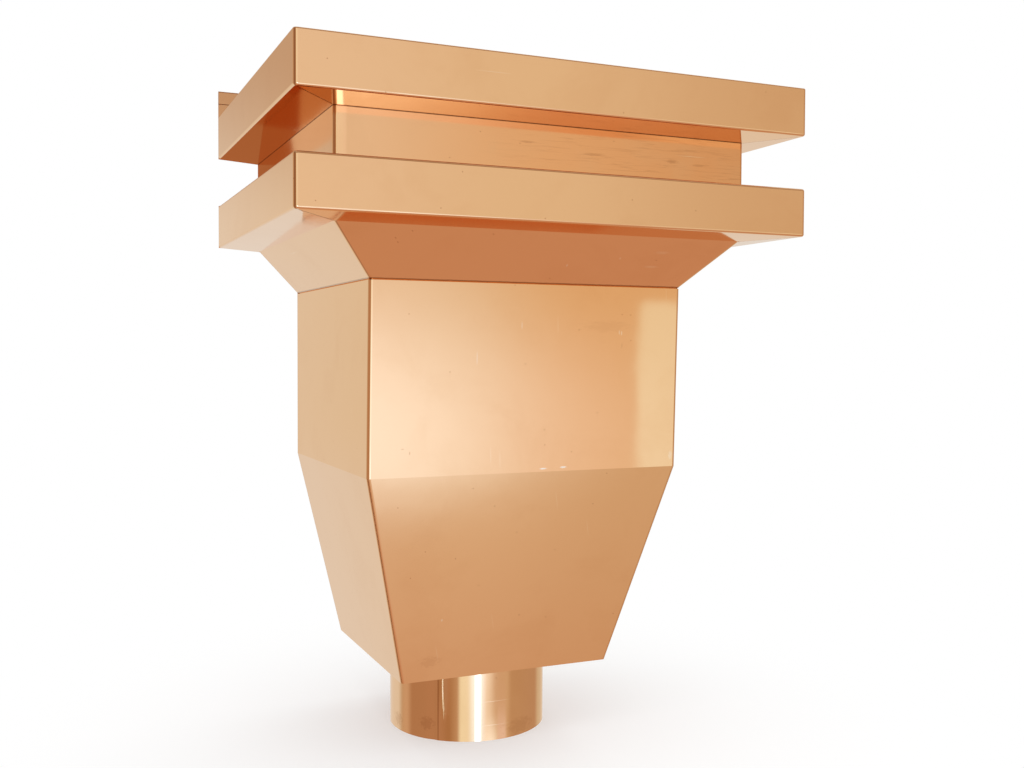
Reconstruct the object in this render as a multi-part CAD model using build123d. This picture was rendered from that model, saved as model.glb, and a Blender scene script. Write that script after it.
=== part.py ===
from build123d import *
import math
import os

# Copper leader head: a rain hopper that hangs on a wall above a round downspout.
# Millimetres, +Z up, +X to the right seen from the front, +Y towards the wall.
# The origin is the centre of the outlet's lower end.

# Sheet and joints, with radii on the inside of bends
sheet = 0.7
solder_gap = 0.1
corner_bend = 1.4
fold_bend = 0.7
lap = 9.0
mitre_gap = 0.3

# Bands
band_width = 304.8
band_depth = 228.6
upper_height = 28.0
lower_height = 28.0
band_spacing = 31.2
soffit_fall = 1.8
ledge_fall = 1.8

# Hems
rim_hem = 9.0
flange_rise = 17.0
flange_hem = 8.4
hem_gap = 0.3

# Neck and flare
neck_recess = 26.2
soffit_width = 27.4
flare_height = 27.0

# Hopper
body_recess = 53.1
body_height = 111.0
front_lean = 4.0
taper_height = 127.0
bottom_width = 137.2
bottom_depth = 138.4

# Outlet
outlet_diameter = 103.2
outlet_length = 48.6
outlet_flange = 6.0
seam_angle = 228.0
seam_lap = 12.0
seam_width = 2.4
seam_dip = 0.45
seam_trace = 0.02
seam_spread = 8.0

# Levels
bottom_z = outlet_length
knee_z = bottom_z + taper_height
body_z = knee_z + body_height
flare_z = body_z + flare_height
lower_z = flare_z + soffit_fall
lower_top_z = lower_z + lower_height
upper_z = lower_top_z + band_spacing
rim_z = upper_z + upper_height
top_z = rim_z + flange_rise

# Plan sizes that follow from the others
wall_y = bottom_depth / 2
neck_width = band_width - 2 * neck_recess
neck_depth = band_depth - neck_recess
flare_width = band_width - 2 * soffit_width
body_width = band_width - 2 * body_recess
body_depth = band_depth - body_recess
lean = front_lean / body_height
knee_depth = body_depth - front_lean

# Radii on the outside of bends, and hems
corner_radius = corner_bend + sheet
fold_radius = fold_bend + sheet
mitre_start = corner_radius + fold_radius
hem_depth = 2 * sheet + hem_gap
hem_round = 0.49 * hem_depth

# Cutting shapes run this far past the sheet they cut
trim = 1.0
open_back = -trim


def outline(width, depth, z, corner, back=sheet):
    # Plan of the head at one level, with its two front corners rounded.
    front_y = wall_y - depth
    back_y = wall_y - back
    plan = Pos(0, (front_y + back_y) / 2, z) * Rectangle(width, back_y - front_y)
    return fillet(plan.vertices().group_by(Axis.Y)[0], corner)


def stack(levels, corner, back=sheet):
    # Solid through a list of (width, depth, z) plans, from the lowest up.
    body = Part()
    for low, high in zip(levels, levels[1:]):
        ends = [outline(*low, corner, back), outline(*high, corner, back)]
        body += loft(ends, ruled=True)
    return body


def block(width, depth, low_z, high_z, corner, back=sheet):
    return stack([(width, depth, low_z), (width, depth, high_z)], corner, back)


def soften(body, z, radius):
    # Round the fold that runs round the front and both sides at one level.
    fold = []
    for edge in body.edges():
        box = edge.bounding_box()
        level = abs(box.min.Z - z) < 1e-4 and abs(box.max.Z - z) < 1e-4
        if level and box.min.Y < wall_y - 2 * corner_radius:
            fold.append(edge)
    return fillet(fold, radius)


def inset(recess):
    # Width and depth of the plan that lies this far inside the bands.
    return band_width - 2 * recess, band_depth - recess


def body_plan(recess, z):
    # Width and depth that lie this far inside the straight body, whose front leans back.
    return body_width - 2 * recess, body_depth - recess - lean * (body_z - z)


def back_tabs(levels):
    # Rear edges of a wrapped wall, turned in against the back plate.
    inner = [(width - 2 * (sheet + lap), depth, z) for width, depth, z in levels]
    low_z = levels[0][2]
    high_z = levels[-1][2]
    layer = Pos(0, wall_y - 1.5 * sheet, (low_z + high_z) / 2) * Box(band_width, sheet, high_z - low_z)
    return (stack(levels, corner_radius) - stack(inner, corner_radius, open_back)) & layer


def mitres(start, reach, low_z, high_z):
    # Thin cuts along both front diagonals, between two recesses.
    middle = (start + reach) / 2
    length = (reach - start) * math.sqrt(2)
    cuts = Part()
    for side in (-1, 1):
        place = Pos(side * (band_width / 2 - middle), wall_y - band_depth + middle, (low_z + high_z) / 2)
        cuts += place * Rot(0, 0, -45 * side) * Box(length, mitre_gap, high_z - low_z)
    return cuts


def upper_rings(body, radius):
    # Round edges of one radius, above the underside of the bottom plate.
    rings = body.edges().filter_by(GeomType.CIRCLE)
    return [ring for ring in rings if abs(ring.radius - radius) < 1e-4 and ring.center().Z > bottom_z]


def on_round(radius, aside):
    # Point at one radius from the tube's axis, in line with the tube's face this far beside the seam.
    share = aside / outlet_radius
    return radius * math.sqrt(1 - share * share), radius * share


def seam_plan(side, dip):
    # Shallow dip of the tube on one side of the seam's edge.
    dip_outline = Polyline(
        on_round(outlet_radius, 0),
        on_round(outlet_radius - dip, side * seam_width),
        on_round(outlet_radius, side * seam_spread),
        on_round(outlet_radius + sheet, side * seam_spread / 2),
        close=True,
    )
    return make_face(dip_outline)


# Back plate
half = [
    (bottom_width / 2, bottom_z),
    (body_width / 2, knee_z),
    (body_width / 2, body_z),
    (flare_width / 2, flare_z),
    (band_width / 2, lower_z),
    (band_width / 2, lower_top_z),
    (neck_width / 2, lower_top_z + ledge_fall),
    (neck_width / 2, upper_z - soffit_fall),
    (band_width / 2, upper_z),
    (band_width / 2, top_z),
]
wall_outline = half + [(-x, z) for x, z in reversed(half)]
wall_plane = Plane(origin=(0, wall_y, 0), x_dir=(1, 0, 0), z_dir=(0, -1, 0))
wall_face = wall_plane * make_face(Polyline(*wall_outline, close=True))
back_plate = extrude(wall_face, sheet)
hem_plan = Pos(0, wall_y - hem_depth / 2, top_z - flange_hem) * Rectangle(band_width, hem_depth)
hem = extrude(hem_plan, flange_hem)
hem_top = hem.edges().filter_by(Axis.X).group_by(Axis.Z)[-1]
hem = fillet(hem_top, hem_round)
slot_height = flange_hem - sheet
slot_plan = Pos(0, wall_y - sheet - hem_gap / 2, top_z - flange_hem) * Rectangle(band_width, hem_gap)
top_trim = Pos(0, wall_y - sheet / 2, top_z - flange_hem / 2) * Box(band_width, sheet, flange_hem)
back_plate = back_plate - top_trim + (hem - extrude(slot_plan, slot_height))

# Upper band
fall = soffit_fall / neck_recess
flange_recess = neck_recess + sheet + solder_gap
flange_z = upper_z - fall * flange_recess
upper_outer = stack(
    [
        (*inset(flange_recess), flange_z - lap),
        (*inset(flange_recess), flange_z),
        (*inset(0), upper_z),
        (*inset(0), rim_z),
    ],
    corner_radius,
)
upper_outer = soften(upper_outer, upper_z, fold_radius)
upper_inner = stack(
    [
        (*inset(flange_recess + sheet), flange_z - lap - sheet),
        (*inset(flange_recess + sheet), flange_z + sheet - fall * sheet),
        (*inset(sheet), upper_z + sheet - fall * sheet),
        (*inset(sheet), rim_z + sheet),
    ],
    corner_bend,
    open_back,
)
upper_inner = soften(upper_inner, upper_z + sheet - fall * sheet, fold_bend)
rim = block(*inset(0), rim_z - rim_hem, rim_z, corner_radius)
rim -= block(*inset(hem_depth), rim_z - rim_hem, rim_z, corner_radius - hem_depth, open_back)
rim_top = rim.edges().filter_by(lambda e: e.bounding_box().min.Z > rim_z - 1e-4)
rim_top = rim_top.filter_by(lambda e: e.bounding_box().min.Y < wall_y - 2 * corner_radius)
rim = fillet(rim_top, hem_round)
rim_slot = block(*inset(sheet), rim_z - rim_hem, rim_z - sheet, corner_bend)
rim_slot -= block(*inset(sheet + hem_gap), rim_z - rim_hem, rim_z, corner_bend - hem_gap, open_back)
upper_wall = upper_outer - upper_inner
upper_wall -= block(*inset(-trim), rim_z - rim_hem, rim_z + trim, corner_radius, open_back)
upper_wall += back_tabs([(*inset(0), upper_z + fold_radius), (*inset(0), rim_z - rim_hem)])
upper_wall -= mitres(mitre_start, flange_recess + sheet + trim, flange_z - lap - trim, upper_z + trim)
upper_band = upper_wall + (rim - rim_slot)

# Neck
neck_top = upper_z - fall * (neck_recess + sheet) - solder_gap
neck_bottom = lower_top_z + ledge_fall - lap
neck = block(neck_width, neck_depth, neck_bottom, neck_top, corner_radius)
neck -= block(*inset(neck_recess + sheet), neck_bottom, neck_top, corner_bend, open_back)
neck_tab_z = flange_z - lap - solder_gap
neck += back_tabs([(neck_width, neck_depth, neck_bottom), (neck_width, neck_depth, neck_tab_z)])

# Lower band
slope = flare_height / (body_recess - soffit_width)
lower_fall = soffit_fall / soffit_width
ledge_rise = ledge_fall / neck_recess
flare_recess = soffit_width - sheet * (1 / slope + lower_fall) - solder_gap
ledge_recess = neck_recess - solder_gap
lower_outer = stack(
    [
        (*inset(flare_recess), lower_z - lower_fall * flare_recess),
        (*inset(0), lower_z),
        (*inset(0), lower_top_z),
        (*inset(ledge_recess), lower_top_z + ledge_rise * ledge_recess),
    ],
    corner_radius,
)
lower_outer = soften(lower_outer, lower_z, fold_radius)
lower_outer = soften(lower_outer, lower_top_z, fold_radius)
lower_inner_z = lower_z + sheet - lower_fall * sheet
ledge_inner_z = lower_top_z - sheet + ledge_rise * sheet
lower_inner = stack(
    [
        (*inset(flare_recess), lower_z + sheet - lower_fall * flare_recess),
        (*inset(sheet), lower_inner_z),
        (*inset(sheet), ledge_inner_z),
        (*inset(ledge_recess), lower_top_z - sheet + ledge_rise * ledge_recess),
    ],
    corner_bend,
    open_back,
)
lower_inner = soften(lower_inner, lower_inner_z, fold_bend)
lower_inner = soften(lower_inner, ledge_inner_z, fold_bend)
ledge_flange = block(*inset(ledge_recess - sheet), neck_bottom, neck_top, corner_radius + sheet)
ledge_hole = block(*inset(ledge_recess), neck_bottom, neck_top, corner_radius, open_back)
soffit_hole = block(*inset(flare_recess), flare_z - trim, lower_z + trim, corner_radius, open_back)
lower_band = lower_outer - lower_inner - soffit_hole
lower_band += ledge_flange & lower_outer
lower_band -= ledge_hole
lower_band += back_tabs([(*inset(0), lower_z + fold_radius), (*inset(0), lower_top_z - fold_radius)])
ledge_top = lower_top_z + ledge_fall + trim
lower_band -= mitres(mitre_start, flare_recess + trim, flare_z - trim, lower_z + trim)
lower_band -= mitres(mitre_start, ledge_recess + trim, neck_bottom - trim, ledge_top)

# Flare
flare_lap = sheet + solder_gap
lap_z = body_z - slope * flare_lap
flare_turn = flare_lap / (1 - lower_fall / slope)
turn_z = flare_z + flare_turn
turn_recess = soffit_width - flare_turn / slope
edge_recess = turn_recess - lap
edge_z = turn_z + lower_fall * lap
flare_outer = stack(
    [
        (*body_plan(flare_lap, lap_z - lap), lap_z - lap),
        (*body_plan(flare_lap, lap_z), lap_z),
        (*inset(turn_recess), turn_z),
        (*inset(edge_recess), edge_z),
        (*inset(edge_recess), edge_z + sheet + trim),
    ],
    corner_radius,
)
rise = math.hypot(1, slope) * sheet
lap_shift = rise - slope * sheet
turn_shift = (rise - sheet) / (slope - lower_fall)
flare_inner = stack(
    [
        (*body_plan(flare_lap + sheet, lap_z - lap - trim), lap_z - lap - trim),
        (*body_plan(flare_lap + sheet, lap_z + lap_shift), lap_z + lap_shift),
        (*inset(turn_recess + turn_shift), turn_z + sheet - lower_fall * turn_shift),
        (*inset(edge_recess - trim), edge_z + sheet + lower_fall * trim),
        (*inset(edge_recess - trim), edge_z + sheet + 2 * trim),
    ],
    corner_bend,
    open_back,
)
flare = flare_outer - flare_inner
for side in (-1, 1):
    corner_x = side * (band_width / 2 - turn_recess + lap / 2)
    corner_y = wall_y - band_depth + turn_recess - lap / 2
    flare -= Pos(corner_x, corner_y, edge_z) * Box(lap, lap, 4 * sheet)
flare -= mitres(body_recess, body_recess + lap, lap_z - lap - trim, lap_z - sheet)

# Hopper
hopper_top = body_z - slope * sheet - solder_gap
hopper = stack(
    [
        (bottom_width, bottom_depth, bottom_z),
        (*body_plan(0, knee_z), knee_z),
        (*body_plan(0, hopper_top), hopper_top),
    ],
    corner_radius,
)
hopper -= stack(
    [
        (bottom_width - 2 * sheet, bottom_depth - sheet, bottom_z),
        (*body_plan(sheet, knee_z), knee_z),
        (*body_plan(sheet, hopper_top), hopper_top),
    ],
    corner_bend,
    open_back,
)
hopper_tab_z = lap_z - lap - solder_gap
hopper += back_tabs(
    [
        (bottom_width, bottom_depth, bottom_z),
        (*body_plan(0, knee_z), knee_z),
        (*body_plan(0, hopper_tab_z), hopper_tab_z),
    ]
)
taper_side = (body_width - bottom_width) / 2
taper_front = knee_depth - bottom_depth
taper_run = math.hypot(taper_side, taper_front)
seam_reach = 2 * corner_radius
for side in (-1, 1):
    seam_plane = Plane(
        origin=(side * body_width / 2, wall_y - knee_depth, 0),
        x_dir=(-side * taper_side, taper_front, 0),
        z_dir=(taper_front, side * taper_side, 0),
    )
    seam = Polyline(
        (-seam_reach, knee_z),
        (seam_reach, knee_z),
        (taper_run + seam_reach, bottom_z),
        (taper_run - seam_reach, bottom_z),
        close=True,
    )
    hopper -= extrude(seam_plane * make_face(seam), mitre_gap / 2, both=True)

# Bottom plate
tray_width = bottom_width - 2 * (sheet + solder_gap)
tray_depth = bottom_depth - sheet - solder_gap
tray_spread = (body_width - bottom_width) / taper_height
tray_run = (knee_depth - bottom_depth) / taper_height
tray_back = 2 * sheet + solder_gap
tray_radius = corner_bend - solder_gap
bottom_plate = stack(
    [
        (tray_width, tray_depth, bottom_z),
        (tray_width + tray_spread * lap, tray_depth + tray_run * lap, bottom_z + lap),
    ],
    tray_radius,
    tray_back,
)
hollow_width = tray_width - 2 * sheet
hollow_depth = tray_depth - sheet
bottom_plate -= stack(
    [
        (hollow_width + tray_spread * sheet, hollow_depth + tray_run * sheet, bottom_z + sheet),
        (hollow_width + tray_spread * lap, hollow_depth + tray_run * lap, bottom_z + lap),
    ],
    tray_radius - sheet,
    tray_back + sheet,
)
outlet_radius = outlet_diameter / 2
outlet_bend = sheet + solder_gap
hole_radius = outlet_radius + outlet_bend + solder_gap
bottom_plate -= Pos(0, 0, bottom_z) * Cylinder(hole_radius, 4 * sheet)

# Outlet tube
flange_low = bottom_z + sheet + solder_gap
bore_radius = outlet_radius - sheet
flange_plan = Pos(0, 0, flange_low) * Circle(outlet_radius + outlet_flange)
outlet_tube = extrude(Circle(outlet_radius), flange_low + sheet) + extrude(flange_plan, sheet)
outlet_tube = fillet(upper_rings(outlet_tube, outlet_radius), outlet_bend)
outlet_tube -= extrude(Circle(bore_radius), flange_low + sheet)
outlet_tube = fillet(upper_rings(outlet_tube, bore_radius), outlet_bend + sheet)
lap_ring = Circle(bore_radius + solder_gap) - Circle(bore_radius - sheet)
lap_start = on_round(outlet_diameter, -seam_spread)
lap_end = on_round(outlet_diameter, seam_lap)
lap_wedge = make_face(Polyline((0, 0), lap_start, lap_end, close=True))
lap_layer = extrude(lap_ring & lap_wedge, bottom_z)
set_dip = extrude(seam_plan(-1, seam_dip), bottom_z)
fade_low = Pos(0, 0, outlet_length / 3) * seam_plan(1, seam_trace)
fade_high = Pos(0, 0, bottom_z) * seam_plan(1, seam_dip)
edge_dip = loft([fade_low, fade_high], ruled=True)
outlet_tube += Rot(0, 0, seam_angle) * lap_layer
outlet_tube -= Rot(0, 0, seam_angle) * set_dip
outlet_tube -= Rot(0, 0, seam_angle) * edge_dip

# Files, one for each sheet
pieces = {
    "back_plate": back_plate,
    "upper_band": upper_band,
    "neck": neck,
    "lower_band": lower_band,
    "flare": flare,
    "hopper": hopper,
    "bottom_plate": bottom_plate,
    "outlet_tube": outlet_tube,
}
os.makedirs("parts", exist_ok=True)
for name, piece in pieces.items():
    export_step(piece, f"parts/{name}.step")
    print(name, len(piece.solids()), round(piece.volume, 1))
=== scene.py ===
from math import pi

import bmesh
import bpy
from mathutils import Matrix, Vector

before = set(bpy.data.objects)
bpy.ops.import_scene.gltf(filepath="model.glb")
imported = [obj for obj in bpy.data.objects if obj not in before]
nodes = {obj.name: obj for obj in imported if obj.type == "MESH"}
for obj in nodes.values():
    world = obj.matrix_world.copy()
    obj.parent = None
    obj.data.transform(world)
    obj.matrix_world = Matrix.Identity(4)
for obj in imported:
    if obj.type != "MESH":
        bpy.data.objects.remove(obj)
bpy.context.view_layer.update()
scene = bpy.context.scene
scene.view_settings.view_transform = "Standard"
print("frame loaded:", len(nodes), "sheets")


# Node helpers

def addNode(tree, kind, settings=None, inputs=None):
    node = tree.nodes.new(kind)
    for key, value in (settings or {}).items():
        setattr(node, key, value)
    for key, value in (inputs or {}).items():
        if isinstance(value, bpy.types.NodeSocket):
            tree.links.new(value, node.inputs[key])
        else:
            node.inputs[key].default_value = value
    return node


def maths(tree, operation, first, second=0.0, third=0.0, clamp=False):
    settings = {"operation": operation, "use_clamp": clamp}
    return addNode(tree, "ShaderNodeMath", settings, {0: first, 1: second, 2: third}).outputs[0]


def vectorMaths(tree, operation, first, second):
    return addNode(tree, "ShaderNodeVectorMath", {"operation": operation}, {0: first, 1: second}).outputs


def vectorLength(tree, vector):
    return addNode(tree, "ShaderNodeVectorMath", {"operation": "LENGTH"}, {0: vector}).outputs["Value"]


def smoothRange(tree, value, low, high, lowOut=0.0, highOut=1.0):
    settings = {"interpolation_type": "SMOOTHSTEP"}
    inputs = {"Value": value, "From Min": low, "From Max": high, "To Min": lowOut, "To Max": highOut}
    return addNode(tree, "ShaderNodeMapRange", settings, inputs).outputs["Result"]


def mixColours(tree, factor, first, second, blend="MIX"):
    settings = {"data_type": "RGBA", "blend_type": blend}
    return addNode(tree, "ShaderNodeMix", settings, {0: factor, 6: first, 7: second}).outputs[2]


def colourRamp(tree, factor, stops):
    node = addNode(tree, "ShaderNodeValToRGB", None, {"Fac": factor})
    ramp = node.color_ramp
    ramp.interpolation = "EASE"
    while len(ramp.elements) < len(stops):
        ramp.elements.new(0.5)
    for element, (place, colour) in zip(ramp.elements, stops):
        element.position = place
        element.color = (*colour, 1)
    return node.outputs["Color"]


def noise(tree, place, pitch, detail=2.0, rough=0.5, warp=0.0):
    inputs = {"Vector": place, "Scale": pitch, "Detail": detail, "Roughness": rough, "Distortion": warp}
    return addNode(tree, "ShaderNodeTexNoise", None, inputs).outputs[0]


def newGroup(name, inputs, outputs):
    group = bpy.data.node_groups.new(name, "ShaderNodeTree")
    for label, kind, start in inputs:
        socket = group.interface.new_socket(label, in_out="INPUT", socket_type="NodeSocket" + kind)
        if start is not None:
            socket.default_value = start
    for label, kind in outputs:
        group.interface.new_socket(label, in_out="OUTPUT", socket_type="NodeSocket" + kind)
    entry = group.nodes.new("NodeGroupInput")
    leave = group.nodes.new("NodeGroupOutput")
    return group, entry.outputs, leave.inputs


def useGroup(tree, group, inputs):
    return addNode(tree, "ShaderNodeGroup", {"node_tree": group}, inputs).outputs[0]


# Studio: white floor and background, and what the polished copper mirrors

studio = {
    "floorRadius": 6.0,
    "floorColour": (0.92, 0.92, 0.92),
    "floorFade": (0.02, 0.36, 0.4, 1.0),
    "fillStrength": 0.8,
    "ground": (0.62, 0.37, 0.25),
    "groundFront": (0.45, -0.1),
    "groundNear": (-24.0, -58.0),
    "groundSteep": (-38.0, -62.0),
    "ceiling": (0.82, 0.80, 0.76),
    "ceilingRise": (30.0, 62.0),
    "softLamp": {
        "turn": -4.8, "rise": -17.5, "half": (3.9, 6.0), "edge": (1.5, 0.6),
        "colour": (2.6, 3.4, 5.2),
    },
    "nearGlow": {
        "turn": 0.0, "rise": -8.5, "half": (18.0, 5.4), "fade": (2.6, 0.7),
        "colour": (0.34, 0.58, 0.96),
    },
    "lowGlow": {
        "turn": 15.0, "rise": -26.8, "half": (12.0, 6.8), "fade": (2.0, 0.7), "below": (-18.2, -19.8),
        "colour": (0.52, 0.95, 1.50),
    },
    "lampGlow": {
        "turn": -5.5, "rise": -17.5, "half": (9.0, 6.0), "fade": (2.0, 0.7),
        "colour": (0.12, 0.40, 0.85),
    },
}

# Walls of the room, in degrees from straight ahead of the front, right positive
surround = [
    (-180, (0.83, 0.84, 0.82)),
    (-160, (0.80, 0.80, 0.74)),
    (-146, (0.55, 0.48, 0.36)),
    (-122, (0.65, 0.50, 0.38)),
    (-108, (0.48, 0.30, 0.19)),
    (-62, (0.50, 0.31, 0.20)),
    (-47, (0.45, 0.27, 0.15)),
    (-36, (0.56, 0.40, 0.27)),
    (-29, (0.98, 1.08, 1.00)),
    (4, (0.94, 0.92, 0.88)),
    (14, (0.87, 0.83, 0.77)),
    (25, (0.82, 0.76, 0.64)),
    (37, (0.71, 0.60, 0.46)),
    (50, (0.57, 0.42, 0.29)),
    (100, (0.55, 0.40, 0.29)),
    (116, (0.70, 0.68, 0.60)),
    (140, (0.80, 0.80, 0.77)),
    (180, (0.83, 0.84, 0.82)),
]

# Boards standing round the head, their turns counted from straight ahead or straight behind
boards = [
    {
        "side": "back", "turns": (-70, -45, 45, 70), "rises": (5, 15, 60, 75),
        "colour": (0.60, 0.49, 0.39),
    },
    {
        "side": "back", "turns": (-50, -35, 30, 45), "rises": (-36, -26, -12, -3),
        "colour": (0.82, 0.87, 0.91),
    },
    {
        "side": "front", "turns": (-90, -60, 60, 90), "rises": (16, 24, 78, 86),
        "colour": (0.45, 0.33, 0.24),
    },
    {
        "side": "front", "turns": (10, 24, 34, 46), "rises": (-19.8, -18, -15.5, -12.5),
        "colour": (0.68, 0.54, 0.41),
    },
    {
        "side": "front", "turns": (22, 28, 36, 42), "rises": (-24, -22, -19.0, -17.9),
        "colour": (0.88, 0.80, 0.84),
    },
    {
        "side": "front", "turns": (19, 28, 33, 40), "rises": (-14, -11, 0, 5),
        "colour": (0.80, 0.62, 0.41),
    },
    {
        "side": "front", "turns": (30.2, 30.5, 40, 46), "rises": (-15, -13, -1.4, -0.7),
        "colour": (0.91, 0.93, 0.82),
    },
]


def boardShare(tree, board, turn, rise):
    share = 1.0
    for value, (start, full, hold, end) in ((turn, board["turns"]), (rise, board["rises"])):
        opening = smoothRange(tree, value, start, full)
        closing = smoothRange(tree, value, end, hold)
        share = maths(tree, "MULTIPLY", share, maths(tree, "MULTIPLY", opening, closing))
    return share


def lampReach(tree, lamp, turn, rise):
    aside = maths(tree, "DIVIDE", maths(tree, "SUBTRACT", turn, lamp["turn"]), lamp["half"][0])
    above = maths(tree, "DIVIDE", maths(tree, "SUBTRACT", rise, lamp["rise"]), lamp["half"][1])
    return aside, above


def addGlow(tree, room, glow, turn, rise):
    aside, above = lampReach(tree, glow, turn, rise)
    spread = maths(tree, "MULTIPLY_ADD", aside, aside, maths(tree, "MULTIPLY", above, above))
    distance = maths(tree, "SQRT", spread)
    share = maths(tree, "POWER", smoothRange(tree, distance, *glow["fade"]), 2.0)
    if "below" in glow:
        share = maths(tree, "MULTIPLY", share, smoothRange(tree, rise, *glow["below"]))
    return mixColours(tree, share, room, (*glow["colour"], 1), "ADD")


def paintWorld(look):
    world = bpy.data.worlds.new("studioSurround")
    scene.world = world
    world.use_nodes = True
    tree = world.node_tree
    tree.nodes.clear()
    direction = addNode(tree, "ShaderNodeTexCoord").outputs["Generated"]
    split = addNode(tree, "ShaderNodeSeparateXYZ", None, {0: direction}).outputs
    degrees = 180 / pi
    frontward = maths(tree, "MULTIPLY", split["Y"], -1.0)
    turn = maths(tree, "MULTIPLY", maths(tree, "ARCTAN2", split["X"], frontward), degrees)
    backTurn = maths(tree, "MULTIPLY", maths(tree, "ARCTAN2", split["X"], split["Y"]), degrees)
    rise = maths(tree, "MULTIPLY", maths(tree, "ARCSINE", split["Z"]), degrees)
    turnShare = maths(tree, "MULTIPLY_ADD", turn, 1 / 360, 0.5)
    room = colourRamp(tree, turnShare, [(angle / 360 + 0.5, colour) for angle, colour in surround])
    high = smoothRange(tree, rise, *look["ceilingRise"])
    room = mixColours(tree, high, room, (*look["ceiling"], 1))
    # brown ground, reaching higher in front than behind
    frontShare = smoothRange(tree, split["Y"], *look["groundFront"])
    nearGround = smoothRange(tree, rise, *look["groundNear"])
    steep = smoothRange(tree, rise, *look["groundSteep"])
    groundShare = maths(tree, "MULTIPLY", nearGround, maths(tree, "MAXIMUM", frontShare, steep))
    room = mixColours(tree, groundShare, room, (*look["ground"], 1))
    room = addGlow(tree, room, look["lowGlow"], turn, rise)
    for board in boards:
        boardTurn = turn if board["side"] == "front" else backTurn
        share = boardShare(tree, board, boardTurn, rise)
        room = mixColours(tree, share, room, (*board["colour"], 1))
    # soft lamp in the middle of its glow
    room = addGlow(tree, room, look["nearGlow"], turn, rise)
    room = addGlow(tree, room, look["lampGlow"], turn, rise)
    lamp = look["softLamp"]
    aside, above = lampReach(tree, lamp, turn, rise)
    reach = maths(tree, "MAXIMUM", maths(tree, "ABSOLUTE", aside), maths(tree, "ABSOLUTE", above))
    room = mixColours(tree, smoothRange(tree, reach, *lamp["edge"]), room, (*lamp["colour"], 1))
    # the camera sees white, mirror images show the room, and plain white fills the rest
    rays = addNode(tree, "ShaderNodeLightPath").outputs
    white = (1, 1, 1, 1)
    fill = addNode(tree, "ShaderNodeBackground", None, {"Color": white, "Strength": look["fillStrength"]})
    seen = addNode(tree, "ShaderNodeBackground", None, {"Color": white, "Strength": 1.0})
    mirrored = addNode(tree, "ShaderNodeBackground", None, {"Color": room, "Strength": 1.0})
    glossy = maths(tree, "MAXIMUM", rays["Is Glossy Ray"], rays["Is Transmission Ray"])
    shares = {0: glossy, 1: fill.outputs[0], 2: mirrored.outputs[0]}
    unseen = addNode(tree, "ShaderNodeMixShader", None, shares)
    shares = {0: rays["Is Camera Ray"], 1: unseen.outputs[0], 2: seen.outputs[0]}
    whole = addNode(tree, "ShaderNodeMixShader", None, shares)
    addNode(tree, "ShaderNodeOutputWorld", None, {"Surface": whole.outputs[0]})


def layFloor(look):
    mesh = bpy.data.meshes.new("floor")
    bm = bmesh.new()
    bmesh.ops.create_circle(bm, cap_ends=True, segments=64, radius=look["floorRadius"])
    bm.to_mesh(mesh)
    bm.free()
    floor = bpy.data.objects.new("floor", mesh)
    scene.collection.objects.link(floor)
    floor.visible_glossy = False
    material = bpy.data.materials.new("floorPaint")
    material.use_nodes = True
    tree = material.node_tree
    tree.nodes.clear()
    place = addNode(tree, "ShaderNodeTexCoord").outputs["Object"]
    distance = vectorLength(tree, place)
    paint = addNode(tree, "ShaderNodeBsdfDiffuse", None, {"Color": (*look["floorColour"], 1)})
    white = addNode(tree, "ShaderNodeEmission", None, {"Color": (1, 1, 1, 1), "Strength": 1.0})
    rays = addNode(tree, "ShaderNodeLightPath").outputs
    far = smoothRange(tree, distance, *look["floorFade"])
    fade = maths(tree, "MULTIPLY", far, rays["Is Camera Ray"])
    both = addNode(tree, "ShaderNodeMixShader", None, {0: fade, 1: paint.outputs[0], 2: white.outputs[0]})
    addNode(tree, "ShaderNodeOutputMaterial", None, {"Surface": both.outputs[0]})
    mesh.materials.append(material)


# painted shade: a dark glowing sheet behind the gap between the bands stands in for the shadowed wall
# there, mirrored in their undersides only
gapShadeCard = {
    "aside": (0.122, 0.152), "level": (0.3436, 0.3756), "back": 0.0705,
    "colour": (0.42, 0.17, 0.07),
}


def standGapShadeCards(look):
    material = bpy.data.materials.new("gapShadePaint")
    material.use_nodes = True
    tree = material.node_tree
    tree.nodes.clear()
    paint = addNode(tree, "ShaderNodeEmission", None, {"Color": (*look["colour"], 1), "Strength": 1.0})
    addNode(tree, "ShaderNodeOutputMaterial", None, {"Surface": paint.outputs[0]})
    inner, outer = look["aside"]
    low, high = look["level"]
    outline = ((inner, low), (outer, low), (outer, high), (inner, high))
    for side, name in ((-1, "gapShadeCardLeft"), (1, "gapShadeCardRight")):
        mesh = bpy.data.meshes.new(name)
        bm = bmesh.new()
        corners = [(aside * side, look["back"], level) for aside, level in outline]
        bm.faces.new([bm.verts.new(corner) for corner in corners])
        bm.to_mesh(mesh)
        bm.free()
        mesh.materials.append(material)
        board = bpy.data.objects.new(name, mesh)
        scene.collection.objects.link(board)
        board.visible_camera = False
        board.visible_diffuse = False
        board.visible_shadow = False


lamps = [
    {"name": "overheadLamp", "place": (-0.5, -0.7, 1.9), "aim": (0, 0, 0.2), "size": 2.2, "power": 18.0},
    {"name": "sideLamp", "place": (1.3, 0.4, 1.5), "aim": (0, 0, 0.2), "size": 1.8, "power": 9.0},
]


def hangLamp(lamp):
    data = bpy.data.lights.new(lamp["name"], "AREA")
    data.shape = "SQUARE"
    data.size = lamp["size"]
    data.energy = lamp["power"]
    holder = bpy.data.objects.new(lamp["name"], data)
    scene.collection.objects.link(holder)
    place = Vector(lamp["place"])
    holder.rotation_euler = (Vector(lamp["aim"]) - place).to_track_quat("-Z", "Y").to_euler()
    holder.location = place
    holder.visible_glossy = False  # the copper mirrors the room, not the lamps


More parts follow.
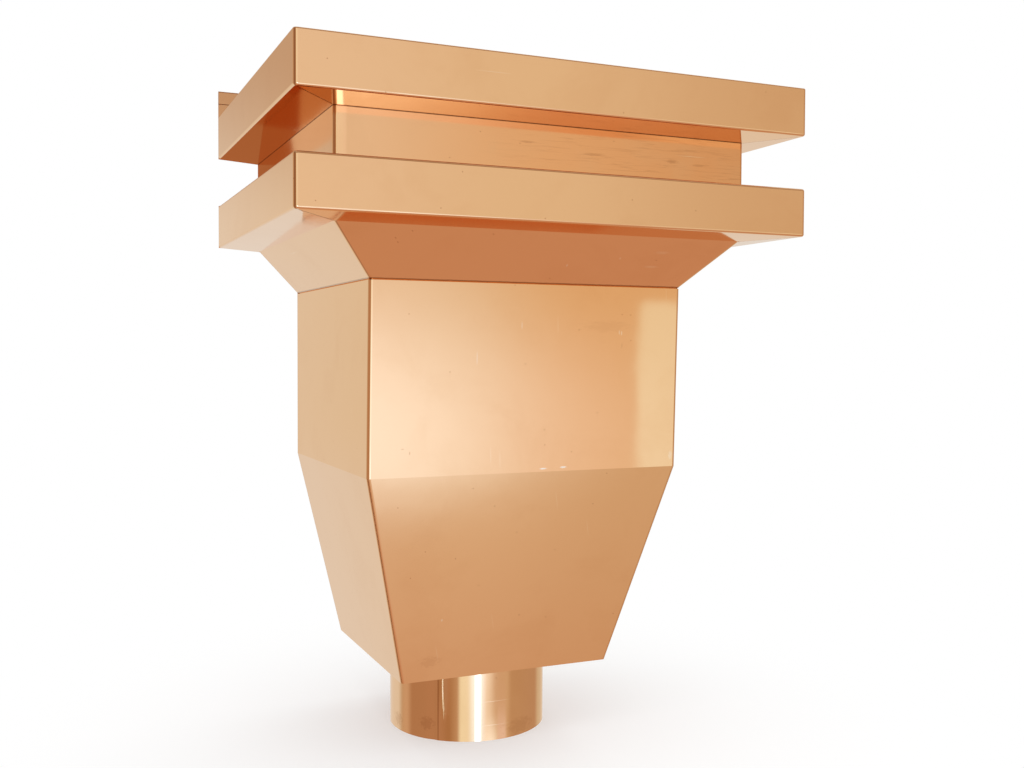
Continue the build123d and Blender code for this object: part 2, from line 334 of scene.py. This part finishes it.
cameraView = {
    "place": (-0.27034, -0.69150, 0.24686),
    "right": (0.91592, -0.40135, 0.00380),
    "up": (0.00847, 0.02880, 0.99955),
    "forward": (0.40127, 0.91547, -0.02978),
    "lens": 38.806,
}


def setCamera(view):
    data = bpy.data.cameras.new("camera")
    data.sensor_width = 36
    data.lens = view["lens"]
    data.clip_start = 0.01
    camera = bpy.data.objects.new("camera", data)
    scene.collection.objects.link(camera)
    back = -Vector(view["forward"])
    turned = Matrix((view["right"], view["up"], back)).transposed().to_4x4()
    camera.matrix_world = Matrix.Translation(view["place"]) @ turned
    scene.camera = camera


paintWorld(studio)
layFloor(studio)
standGapShadeCards(gapShadeCard)
for lamp in lamps:
    hangLamp(lamp)
setCamera(cameraView)
print("studio ready")


# Shared effects on the copper, each a node group

def makeRollingLines():
    inputs = [("Place", "Vector", None), ("Spread", "Vector", (40, 2400, 1))]
    group, entry, leave = newGroup("rollingLines", inputs, [("Lines", "Float")])
    stretched = vectorMaths(group, "MULTIPLY", entry["Place"], entry["Spread"])["Vector"]
    group.links.new(noise(group, stretched, 1.0, 3.0, 0.6), leave["Lines"])
    return group


def makeSheetWaves():
    inputs = [("Place", "Vector", None), ("Pitch", "Float", 12.0)]
    group, entry, leave = newGroup("sheetWaves", inputs, [("Height", "Float")])
    wide = noise(group, entry["Place"], entry["Pitch"], 1.0, 0.4)
    narrow = noise(group, entry["Place"], maths(group, "MULTIPLY", entry["Pitch"], 4.0), 1.0, 0.4)
    group.links.new(maths(group, "MULTIPLY_ADD", narrow, 0.12, wide), leave["Height"])
    return group


def makeClouds():
    inputs = [
        ("Place", "Vector", None), ("Pitch", "Float", 20.0),
        ("Low", "Float", 0.5), ("High", "Float", 0.7),
    ]
    group, entry, leave = newGroup("handlingClouds", inputs, [("Mask", "Float")])
    cloud = noise(group, entry["Place"], entry["Pitch"], 5.0, 0.6, 0.5)
    group.links.new(smoothRange(group, cloud, entry["Low"], entry["High"]), leave["Mask"])
    return group


def makeDashes():
    inputs = [
        ("Place", "Vector", None), ("Spread", "Vector", (700, 9, 1)),
        ("Share", "Float", 0.1), ("Size", "Float", 0.12),
    ]
    group, entry, leave = newGroup("scratchDashes", inputs, [("Mask", "Float")])
    stretched = vectorMaths(group, "MULTIPLY", entry["Place"], entry["Spread"])["Vector"]
    settings = {"voronoi_dimensions": "2D", "feature": "F1"}
    cells = addNode(group, "ShaderNodeTexVoronoi", settings, {"Vector": stretched, "Scale": 1.0}).outputs
    pick = addNode(group, "ShaderNodeSeparateColor", None, {0: cells["Color"]}).outputs[0]
    chosen = maths(group, "LESS_THAN", pick, entry["Share"])
    core = maths(group, "MULTIPLY", entry["Size"], 0.3)
    dash = smoothRange(group, cells["Distance"], entry["Size"], core)
    group.links.new(maths(group, "MULTIPLY", dash, chosen), leave["Mask"])
    return group


def makeSpot():
    inputs = [
        ("Place", "Vector", None), ("Centre", "Vector", None),
        ("Half", "Vector", (1, 1, 1)), ("Ragged", "Float", 0.5),
    ]
    group, entry, leave = newGroup("singleMark", inputs, [("Mask", "Float")])
    offset = vectorMaths(group, "SUBTRACT", entry["Place"], entry["Centre"])["Vector"]
    shared = vectorMaths(group, "DIVIDE", offset, entry["Half"])["Vector"]
    distance = vectorLength(group, shared)
    uneven = maths(group, "SUBTRACT", noise(group, shared, 2.6, 4.0, 0.7), 0.5)
    ragged = maths(group, "MULTIPLY_ADD", uneven, entry["Ragged"], distance)
    group.links.new(smoothRange(group, ragged, 1.0, 0.35), leave["Mask"])
    return group


def makeInside():
    inputs = [("Place", "Vector", None), ("Facing", "Vector", None), ("Top", "Float", 1.0)]
    group, entry, leave = newGroup("insideFaces", inputs, [("Mask", "Float")])
    level = addNode(group, "ShaderNodeSeparateXYZ", None, {0: entry["Place"]}).outputs["Z"]
    outward = vectorMaths(group, "MULTIPLY", entry["Place"], (1, 1, 0))["Vector"]
    facing = vectorMaths(group, "DOT_PRODUCT", entry["Facing"], outward)["Value"]
    inward = maths(group, "LESS_THAN", facing, -0.001)
    below = maths(group, "LESS_THAN", level, entry["Top"])
    group.links.new(maths(group, "MULTIPLY", inward, below), leave["Mask"])
    return group


def makeSeamStain():
    inputs = [
        ("Place", "Vector", None), ("Level", "Float", 0.0),
        ("Half", "Float", 0.001), ("Ragged", "Float", 0.001),
    ]
    group, entry, leave = newGroup("seamStain", inputs, [("Mask", "Float")])
    height = addNode(group, "ShaderNodeSeparateXYZ", None, {0: entry["Place"]}).outputs["Y"]
    uneven = maths(group, "SUBTRACT", noise(group, entry["Place"], 260.0, 2.0, 0.6), 0.5)
    above = maths(group, "SUBTRACT", height, entry["Level"])
    away = maths(group, "ABSOLUTE", maths(group, "MULTIPLY_ADD", uneven, entry["Ragged"], above))
    core = maths(group, "MULTIPLY", entry["Half"], 0.3)
    group.links.new(smoothRange(group, away, entry["Half"], core), leave["Mask"])
    return group


rollingLines = makeRollingLines()
sheetWaves = makeSheetWaves()
handlingClouds = makeClouds()
scratchDashes = makeDashes()
singleMark = makeSpot()
seamStain = makeSeamStain()
insideFaces = makeInside()


# Copper finish

tones = {
    "clean": (0.90, 0.57, 0.33),
    "edge": (0.985, 0.89, 0.79),
    "tarnished": (0.88, 0.44, 0.20),
    "handled": (0.84, 0.50, 0.27),
    "brown": (0.50, 0.23, 0.10),
    "dark": (0.26, 0.11, 0.05),
    # pale copper for scratches, also a painted highlight beside the tube seam
    "scrapeAndHighlight": (0.97, 0.78, 0.58),
    # near-white; along the knee fold it makes painted highlights
    "nearWhite": (0.97, 0.93, 0.86),
    "inside": (0.58, 0.30, 0.16),
}

# How strongly each kind of wear and the painted corner shade show, alike on all sheets
wearAndShade = {
    "cloudRange": (0.46, 0.72), "dashTint": 0.55, "dashDepth": 4,
    "speckSpread": (170, 170, 1), "speckSize": 0.09, "speckTint": 0.6,
    "smearRough": 0.12, "markRough": 0.15, "cornerCore": 0.4,
    "insideTint": (0.25, 0.6), "insideRough": 0.28, "insideDull": 0.5,
}


def copperSheet(look):
    material = bpy.data.materials.new(look["name"])
    material.use_nodes = True
    tree = material.node_tree
    shader = tree.nodes["Principled BSDF"]
    origin = addNode(tree, "ShaderNodeTexCoord").outputs
    place = origin["Object"]
    split = addNode(tree, "ShaderNodeSeparateXYZ", None, {0: place}).outputs
    if "round" in look:
        frontward = maths(tree, "MULTIPLY", split["Y"], -1.0)
        along = maths(tree, "MULTIPLY", maths(tree, "ARCTAN2", split["X"], frontward), look["round"])
        front = along
    else:
        along = maths(tree, "SUBTRACT", split["X"], split["Y"])
        front = split["X"]
    strip = addNode(tree, "ShaderNodeCombineXYZ", None, {0: along, 1: split["Z"]}).outputs[0]
    face = addNode(tree, "ShaderNodeCombineXYZ", None, {0: front, 1: split["Z"]}).outputs[0]
    lines = useGroup(tree, rollingLines, {"Place": strip, "Spread": look["lineSpread"]})
    waves = useGroup(tree, sheetWaves, {"Place": place, "Pitch": look["wavePitch"]})
    low, high = wearAndShade["cloudRange"]
    inputs = {"Place": place, "Pitch": look["cloudPitch"], "Low": low, "High": high}
    clouds = useGroup(tree, handlingClouds, inputs)
    inputs = {"Place": strip, "Spread": look["dashSpread"], "Share": look["dashShare"]}
    dashes = useGroup(tree, scratchDashes, inputs)
    inputs = {"Place": strip, "Spread": wearAndShade["speckSpread"], "Share": look["speckShare"]}
    inputs["Size"] = wearAndShade["speckSize"]
    specks = useGroup(tree, scratchDashes, inputs)
    colour = (*tones["clean"], 1)
    if "tintAcross" in look:
        tintAcross = smoothRange(tree, front, *look["tintAcross"]["range"])
        colour = mixColours(tree, tintAcross, colour, (*tones[look["tintAcross"]["tone"]], 1))
    handled = maths(tree, "MULTIPLY", clouds, look["cloudTint"])
    colour = mixColours(tree, handled, colour, (*tones["handled"], 1))
    rough = maths(tree, "MULTIPLY_ADD", clouds, look["cloudRough"], look["roughness"])
    rough = maths(tree, "MULTIPLY_ADD", lines, look["lineRough"], rough)
    # smeared brown oxide, kept to one side
    if "smear" in look:
        smear = look["smear"]
        stretched = vectorMaths(tree, "MULTIPLY", face, smear["spread"])["Vector"]
        ragged = smoothRange(tree, noise(tree, stretched, 1.0, 4.0, 0.62, 0.8), *smear["range"])
        kept = smoothRange(tree, front, *smear["from"])
        smeared = maths(tree, "MULTIPLY", maths(tree, "MULTIPLY", ragged, kept), smear["strength"])
        colour = mixColours(tree, smeared, colour, (*tones["brown"], 1))
        rough = maths(tree, "MULTIPLY_ADD", smeared, wearAndShade["smearRough"], rough)
    scrapeAndHighlight = maths(tree, "MULTIPLY", dashes, wearAndShade["dashTint"])
    colour = mixColours(tree, scrapeAndHighlight, colour, (*tones["scrapeAndHighlight"], 1))
    specked = maths(tree, "MULTIPLY", specks, wearAndShade["speckTint"])
    colour = mixColours(tree, specked, colour, (*tones["brown"], 1))
    # painted shade: a dark line down each front corner, darkening the bend
    for corner in look.get("corners", ()):
        away = maths(tree, "ABSOLUTE", maths(tree, "SUBTRACT", along, corner))
        half = look["cornerHalf"]
        darkLine = smoothRange(tree, away, half, half * wearAndShade["cornerCore"], 0.0, look["cornerShade"])
        colour = mixColours(tree, darkLine, colour, (*tones["dark"], 1))
    for seam in look.get("seams", ()):
        inputs = {"Place": strip, "Level": seam["level"], "Half": seam["half"], "Ragged": seam["ragged"]}
        darkLine = maths(tree, "MULTIPLY", useGroup(tree, seamStain, inputs), seam["strength"])
        colour = mixColours(tree, darkLine, colour, (*tones[seam["tone"]], 1))
    dents = []
    for mark in look.get("marks", ()):
        inputs = {"Place": face, "Centre": (*mark["at"], 0), "Half": (*mark["half"], 1)}
        inputs["Ragged"] = mark.get("ragged", 0.8)
        mask = useGroup(tree, singleMark, inputs)
        dents.append((mask, mark.get("dent", 0.0)))
        spot = maths(tree, "MULTIPLY", mask, mark["strength"])
        colour = mixColours(tree, spot, colour, (*tones[mark["tone"]], 1))
        rough = maths(tree, "MULTIPLY_ADD", spot, wearAndShade["markRough"], rough)
    # dull mill skin left on the faces turned inward
    inputs = {"Place": place, "Facing": origin["Normal"], "Top": look["insideTop"]}
    inside = useGroup(tree, insideFaces, inputs)
    dull = maths(tree, "MULTIPLY_ADD", clouds, *wearAndShade["insideTint"])
    colour = mixColours(tree, maths(tree, "MULTIPLY", inside, dull), colour, (*tones["inside"], 1))
    rough = maths(tree, "MULTIPLY_ADD", inside, wearAndShade["insideRough"], rough)
    metal = maths(tree, "MULTIPLY_ADD", inside, -wearAndShade["insideDull"], 1.0)
    height = maths(tree, "MULTIPLY", waves, look["waveHeight"])
    height = maths(tree, "MULTIPLY_ADD", lines, look["lineHeight"], height)
    height = maths(tree, "MULTIPLY_ADD", dashes, -look["lineHeight"] * wearAndShade["dashDepth"], height)
    for mask, depth in dents:
        if depth:
            height = maths(tree, "MULTIPLY_ADD", mask, -depth, height)
    if "cornerRoll" in look:
        start, end, drop = look["cornerRoll"]
        height = maths(tree, "ADD", height, smoothRange(tree, along, start, end, 0.0, -drop))
    bump = addNode(tree, "ShaderNodeBump", None, {"Strength": 1.0, "Distance": 1.0, "Height": height})
    tree.links.new(colour, shader.inputs["Base Color"])
    tree.links.new(rough, shader.inputs["Roughness"])
    tree.links.new(bump.outputs["Normal"], shader.inputs["Normal"])
    tree.links.new(metal, shader.inputs["Metallic"])
    shader.inputs["Specular Tint"].default_value = (*tones["edge"], 1)
    return material


rolled = {
    "roughness": 0.06, "lineSpread": (40, 2400, 1), "lineRough": 0.02, "lineHeight": 0.0000006,
    "wavePitch": 12.0, "waveHeight": 0.00014, "cloudPitch": 22.0, "cloudTint": 0.35, "cloudRough": 0.04,
    "dashSpread": (9, 700, 1), "dashShare": 0.008, "speckShare": 0.015,
    "cornerHalf": 0.0009, "cornerShade": 0.55, "insideTop": 0.42,
}
bandLook = {**rolled, "name": "bandCopper", "waveHeight": 0.00010, "corners": (0.007, 0.3118)}
neckLook = {
    **rolled, "name": "neckCopper", "roughness": 0.08,
    "corners": (0.007, 0.2594), "cornerRoll": (0.0145, 0.0068, 0.0009),
    "tintAcross": {"tone": "tarnished", "range": (-0.14, 0.02, 0.15, 0.90)},
    "smear": {"spread": (38, 640, 1), "range": (0.50, 0.70), "from": (-0.06, 0.03), "strength": 0.30},
    "seams": [{"level": 0.3727, "half": 0.0005, "ragged": 0.0003, "strength": 0.85, "tone": "brown"}],
    "marks": [
        {
            "at": (-0.0167, 0.3624), "half": (0.006, 0.0008),
            "strength": 0.35, "tone": "brown", "ragged": 2.0,
        },
        {
            "at": (0.0244, 0.3585), "half": (0.009, 0.0010),
            "strength": 0.35, "tone": "brown", "ragged": 2.0,
        },
        {
            "at": (0.0763, 0.3582), "half": (0.005, 0.0014),
            "strength": 0.40, "tone": "brown", "ragged": 2.0,
        },
        {
            "at": (0.0947, 0.3571), "half": (0.006, 0.0009),
            "strength": 0.35, "tone": "brown", "ragged": 2.0,
        },
    ],
}
flareLook = {
    **rolled, "name": "flareCopper", "roughness": 0.08, "dashShare": 0.02,
    "corners": (0.007,), "cornerShade": 0.4,
    "seams": [{"level": 0.2867, "half": 0.0004, "ragged": 0.0004, "strength": 0.7, "tone": "dark"}],
    "marks": [
        {"at": (0.0491, 0.3016), "half": (0.0008, 0.0008), "strength": 0.6, "tone": "scrapeAndHighlight"},
        {
            "at": (0.0723, 0.2977), "half": (0.0060, 0.0008),
            "strength": 0.35, "tone": "scrapeAndHighlight", "ragged": 1.6,
        },
        {
            "at": (0.0755, 0.3056), "half": (0.0060, 0.0010),
            "strength": 0.30, "tone": "scrapeAndHighlight", "ragged": 1.8,
        },
        {"at": (0.0165, 0.2967), "half": (0.0005, 0.0009), "strength": 0.6, "tone": "nearWhite"},
    ],
}
hopperLook = {
    **rolled, "name": "hopperCopper", "roughness": 0.035, "lineRough": 0.012, "cloudRough": 0.02,
    "lineSpread": (2400, 40, 1),
    "waveHeight": 0.00020, "dashSpread": (700, 16, 1), "dashShare": 0.008,
    "seams": [{"level": 0.2864, "half": 0.0003, "ragged": 0.0003, "strength": 0.6, "tone": "dark"}],
    "marks": [
        {"at": (-0.0072, 0.2618), "half": (0.0004, 0.0028), "strength": 0.35, "tone": "nearWhite"},
        {"at": (-0.0350, 0.2428), "half": (0.0003, 0.0050), "strength": 0.35, "tone": "nearWhite"},
        {"at": (0.0574, 0.2584), "half": (0.0004, 0.0018), "strength": 0.45, "tone": "nearWhite"},
        {"at": (0.0590, 0.2580), "half": (0.0004, 0.0018), "strength": 0.45, "tone": "nearWhite"},
        {
            "at": (0.0594, 0.2505), "half": (0.0005, 0.0020),
            "strength": 0.25, "tone": "brown", "ragged": 1.4,
        },
        {"at": (-0.0790, 0.1917), "half": (0.0013, 0.0005), "strength": 0.30, "tone": "brown"},
        {"at": (-0.0748, 0.1893), "half": (0.0006, 0.0013), "strength": 0.35, "tone": "brown"},
        {
            # painted highlights: the next two near-white marks are glints along the knee fold
            "at": (0.0082, 0.1774), "half": (0.0030, 0.0006),
            "strength": 0.9, "tone": "nearWhite", "ragged": 1.6,
        },
        {
            "at": (0.0214, 0.1778), "half": (0.0028, 0.0007),
            "strength": 0.9, "tone": "nearWhite", "ragged": 1.6,
        },
        {
            "at": (0.0497, 0.2619), "half": (0.0200, 0.0040),
            "strength": 0.10, "tone": "brown", "ragged": 2.4,
        },
        {
            "at": (0.0955, 0.1825), "half": (0.0018, 0.0030),
            "strength": 0.22, "tone": "nearWhite", "ragged": 3.0,
        },
        {"at": (-0.0468, 0.0870), "half": (0.0008, 0.0010), "strength": 0.4, "tone": "nearWhite"},
        {
            "at": (-0.0520, 0.0610), "half": (0.0080, 0.0040),
            "strength": 0.15, "tone": "brown", "ragged": 3.0,
        },
    ],
}
plateLook = {
    **rolled, "name": "plateCopper", "roughness": 0.09, "lineSpread": (2400, 40, 1), "cloudTint": 0.5,
}
backLook = {
    **plateLook, "name": "backCopper", "insideTop": 0.4026,
    # the whole back plate turned towards brown at an even share, the range lying outside the plate
    "tintAcross": {"tone": "brown", "range": (-1, -0.5, 0, 0.75)},
}
tubeLook = {
    **rolled, "name": "tubeCopper", "round": 0.0516, "lineSpread": (2400, 40, 1), "waveHeight": 0.00004,
    "marks": [
        {
            "at": (-0.0376, 0.030), "half": (0.0008, 0.060),
            "strength": 0.6, "tone": "brown", "ragged": 0.5,
        },
        # painted highlight: this mark lightens the strip beside the seam, over a shallow dent
        {
            "at": (-0.0332, 0.036), "half": (0.0021, 0.026),
            "strength": 0.2, "tone": "scrapeAndHighlight", "ragged": 0.3, "dent": 0.00028,
        },
        {
            "at": (-0.0728, 0.007), "half": (0.0060, 0.0050),
            "strength": 0.3, "tone": "brown", "ragged": 3.2,
        },
        {
            "at": (-0.0457, 0.010), "half": (0.0065, 0.0050),
            "strength": 0.28, "tone": "brown", "ragged": 3.0,
        },
        {
            "at": (0.0180, 0.006), "half": (0.0140, 0.0060),
            "strength": 0.2, "tone": "brown", "ragged": 2.6,
        },
    ],
}
finishes = {
    "back_plate": backLook, "upper_band": bandLook, "neck": neckLook, "lower_band": bandLook,
    "flare": flareLook, "hopper": hopperLook, "bottom_plate": plateLook, "outlet_tube": tubeLook,
}

made = {}
for sheetName, look in finishes.items():
    if look["name"] not in made:
        made[look["name"]] = copperSheet(look)
    sheet = nodes[sheetName]
    sheet.data.materials.clear()
    sheet.data.materials.append(made[look["name"]])
print("copper on", len(finishes), "sheets,", len(made), "finishes")
